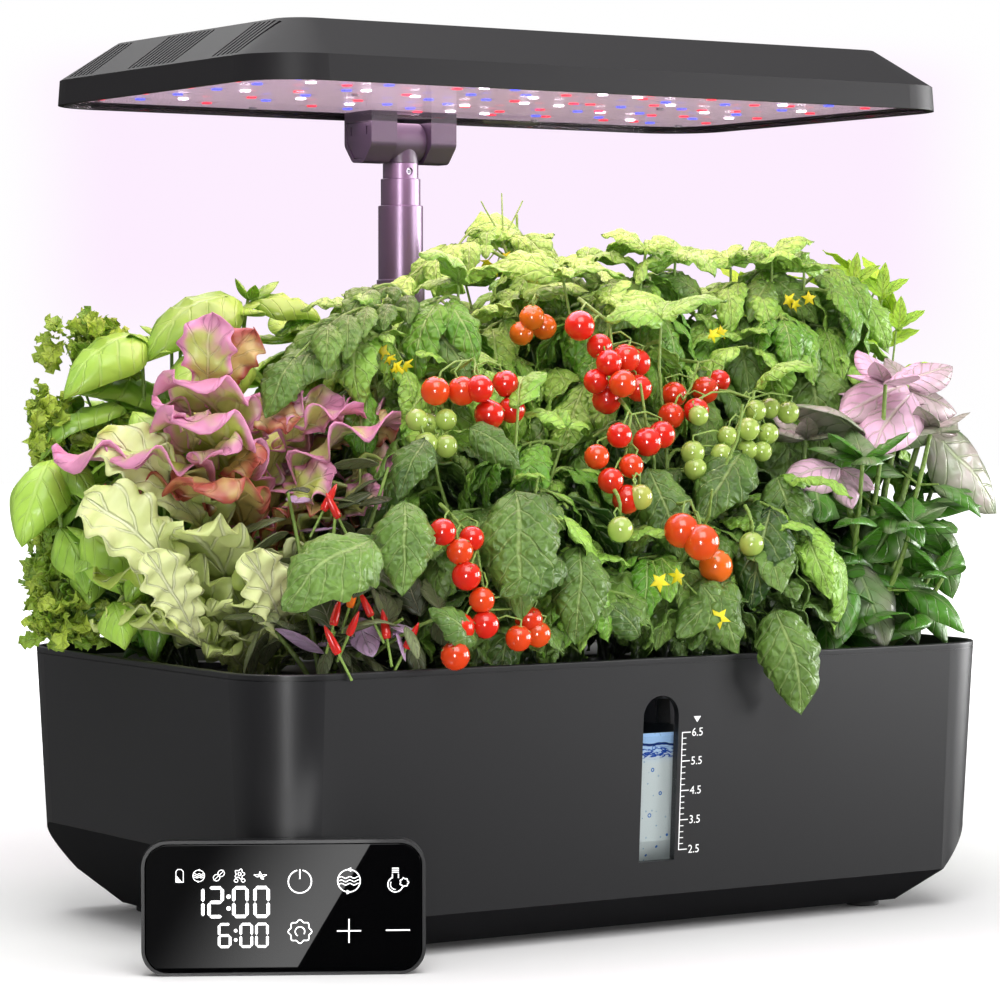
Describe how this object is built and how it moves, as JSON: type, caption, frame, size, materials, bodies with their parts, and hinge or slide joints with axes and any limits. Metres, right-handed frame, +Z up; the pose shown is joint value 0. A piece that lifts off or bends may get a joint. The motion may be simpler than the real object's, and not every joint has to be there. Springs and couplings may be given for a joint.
{
  "type": "countertop hydroponic garden",
  "caption": "Water tank with level window, lift-out planting deck with net pods and plants, telescopic mast, tilting grow lamp and touch remote.",
  "frame": {"origin": "centre of the tank on the table, at the feet's undersides", "axes": "+X along the tank's length, +Y to the back where the mast is, +Z up; the front with the level window faces -Y"},
  "size_m": [0.4607, 0.281, 0.3848],
  "materials": {
    "tank_abs": "fine moulded texture",
    "clear_acrylic": "clear moulded",
    "silicone": "moulded",
    "rubber": "moulded",
    "pump_abs": "moulded",
    "deck_abs": "moulded",
    "screw_steel": "zinc plated",
    "tube_aluminium": "dark anodised",
    "hinge_abs": "satin moulded",
    "washer_nylon": "moulded",
    "lamp_abs": "fine moulded texture",
    "clear_cover": "clear sheet",
    "board_white": "white solder mask",
    "led_white": "glowing",
    "led_red": "glowing",
    "led_blue": "glowing",
    "remote_abs": "gloss moulded",
    "black_glass": "gloss black panel with lit figures",
    "basket_pp": "moulded",
    "leaf": "living leaves"
  },
  "bodies": {
    "root": {"tank_shell": "tank_abs", "level_window": "clear_acrylic", "window_seal": "silicone", "rubber_feet": "rubber", "pump_body": "pump_abs", "pump_grille": "pump_abs", "pump_suction_cups": "silicone", "riser_hose": "silicone"},
    "deck": {"planting_deck": "deck_abs", "mast_base": "tank_abs", "power_inlet": "pump_abs", "mast_base_screws": "screw_steel", "mast_tube_outer": "tube_aluminium"},
    "fill_cap": {"fill_cap": "tank_abs"},
    "mast_lower": {"mast_tube_lower": "tube_aluminium"},
    "mast_upper": {"mast_tube_upper": "tube_aluminium"},
    "mast_top": {"mast_tube_top": "tube_aluminium", "hinge_neck": "hinge_abs", "neck_screw": "screw_steel"},
    "lamp": {"hinge_bracket": "hinge_abs", "hinge_pin": "screw_steel", "hinge_caps": "hinge_abs", "friction_washers": "washer_nylon", "lamp_housing": "lamp_abs", "lamp_cover": "clear_cover", "led_board": "board_white", "led_chips_white": "led_white", "led_chips_red": "led_red", "led_chips_blue": "led_blue", "lamp_screws": "screw_steel", "junction_plate": "hinge_abs"},
    "remote": {"remote_case": "remote_abs", "remote_glass": "black_glass", "remote_board": "pump_abs", "remote_cell": "screw_steel"},
    "pod_11": {"basket_11": "basket_pp", "plant_11": "leaf"},
    "pod_12": {"basket_12": "basket_pp", "plant_12": "leaf"},
    "pod_13": {"basket_13": "basket_pp", "plant_13": "leaf"},
    "pod_21": {"basket_21": "basket_pp", "plant_21": "leaf"},
    "pod_22": {"basket_22": "basket_pp", "plant_22": "leaf"},
    "pod_23": {"basket_23": "basket_pp", "plant_23": "leaf"},
    "pod_31": {"basket_31": "basket_pp", "plant_31": "leaf"},
    "pod_32": {"basket_32": "basket_pp", "plant_32": "leaf"},
    "pod_33": {"basket_33": "basket_pp", "plant_33": "leaf"},
    "pod_41": {"basket_41": "basket_pp", "plant_41": "leaf"},
    "pod_42": {"basket_42": "basket_pp", "plant_42": "leaf"},
    "pod_43": {"basket_43": "basket_pp", "plant_43": "leaf"}
  },
  "joints": [
    {"name": "deck_lift", "type": "slide", "parent": "root", "child": "deck", "axis": [0, 0, 1], "range_m": [0, 0.12]},
    {"name": "fill_cap_lift", "type": "slide", "parent": "deck", "child": "fill_cap", "axis": [0, 0, 1], "range_m": [0, 0.008]},
    {"name": "mast_lower_slide", "type": "slide", "parent": "deck", "child": "mast_lower", "axis": [0, 0, 1], "range_m": [-0.015, 0.09]},
    {"name": "mast_upper_slide", "type": "slide", "parent": "mast_lower", "child": "mast_upper", "axis": [0, 0, 1], "range_m": [-0.008, 0.1]},
    {"name": "mast_top_slide", "type": "slide", "parent": "mast_upper", "child": "mast_top", "axis": [0, 0, 1], "range_m": [-0.004, 0.1]},
    {"name": "lamp_tilt", "type": "hinge", "parent": "mast_top", "child": "lamp", "pos_m": [0, 0.0933, 0.347], "axis": [-1, 0, 0], "range_deg": [0, 60]},
    {"name": "remote_lift", "type": "slide", "parent": "root", "child": "remote", "axis": [-0.1183, -0.2117, 0.9701], "range_m": [0, 0.06]},
    {"name": "pod_11_lift", "type": "slide", "parent": "deck", "child": "pod_11", "axis": [0, 0, 1], "range_m": [0, 0.03]},
    {"name": "pod_12_lift", "type": "slide", "parent": "deck", "child": "pod_12", "axis": [0, 0, 1], "range_m": [0, 0.03]},
    {"name": "pod_13_lift", "type": "slide", "parent": "deck", "child": "pod_13", "axis": [0, 0, 1], "range_m": [0, 0.03]},
    {"name": "pod_21_lift", "type": "slide", "parent": "deck", "child": "pod_21", "axis": [0, 0, 1], "range_m": [0, 0.03]},
    {"name": "pod_22_lift", "type": "slide", "parent": "deck", "child": "pod_22", "axis": [0, 0, 1], "range_m": [0, 0.03]},
    {"name": "pod_23_lift", "type": "slide", "parent": "deck", "child": "pod_23", "axis": [0, 0, 1], "range_m": [0, 0.03]},
    {"name": "pod_31_lift", "type": "slide", "parent": "deck", "child": "pod_31", "axis": [0, 0, 1], "range_m": [0, 0.03]},
    {"name": "pod_32_lift", "type": "slide", "parent": "deck", "child": "pod_32", "axis": [0, 0, 1], "range_m": [0, 0.03]},
    {"name": "pod_33_lift", "type": "slide", "parent": "deck", "child": "pod_33", "axis": [0, 0, 1], "range_m": [0, 0.03]},
    {"name": "pod_41_lift", "type": "slide", "parent": "deck", "child": "pod_41", "axis": [0, 0, 1], "range_m": [0, 0.03]},
    {"name": "pod_42_lift", "type": "slide", "parent": "deck", "child": "pod_42", "axis": [0, 0, 1], "range_m": [0, 0.03]},
    {"name": "pod_43_lift", "type": "slide", "parent": "deck", "child": "pod_43", "axis": [0, 0, 1], "range_m": [0, 0.03]}
  ]
}
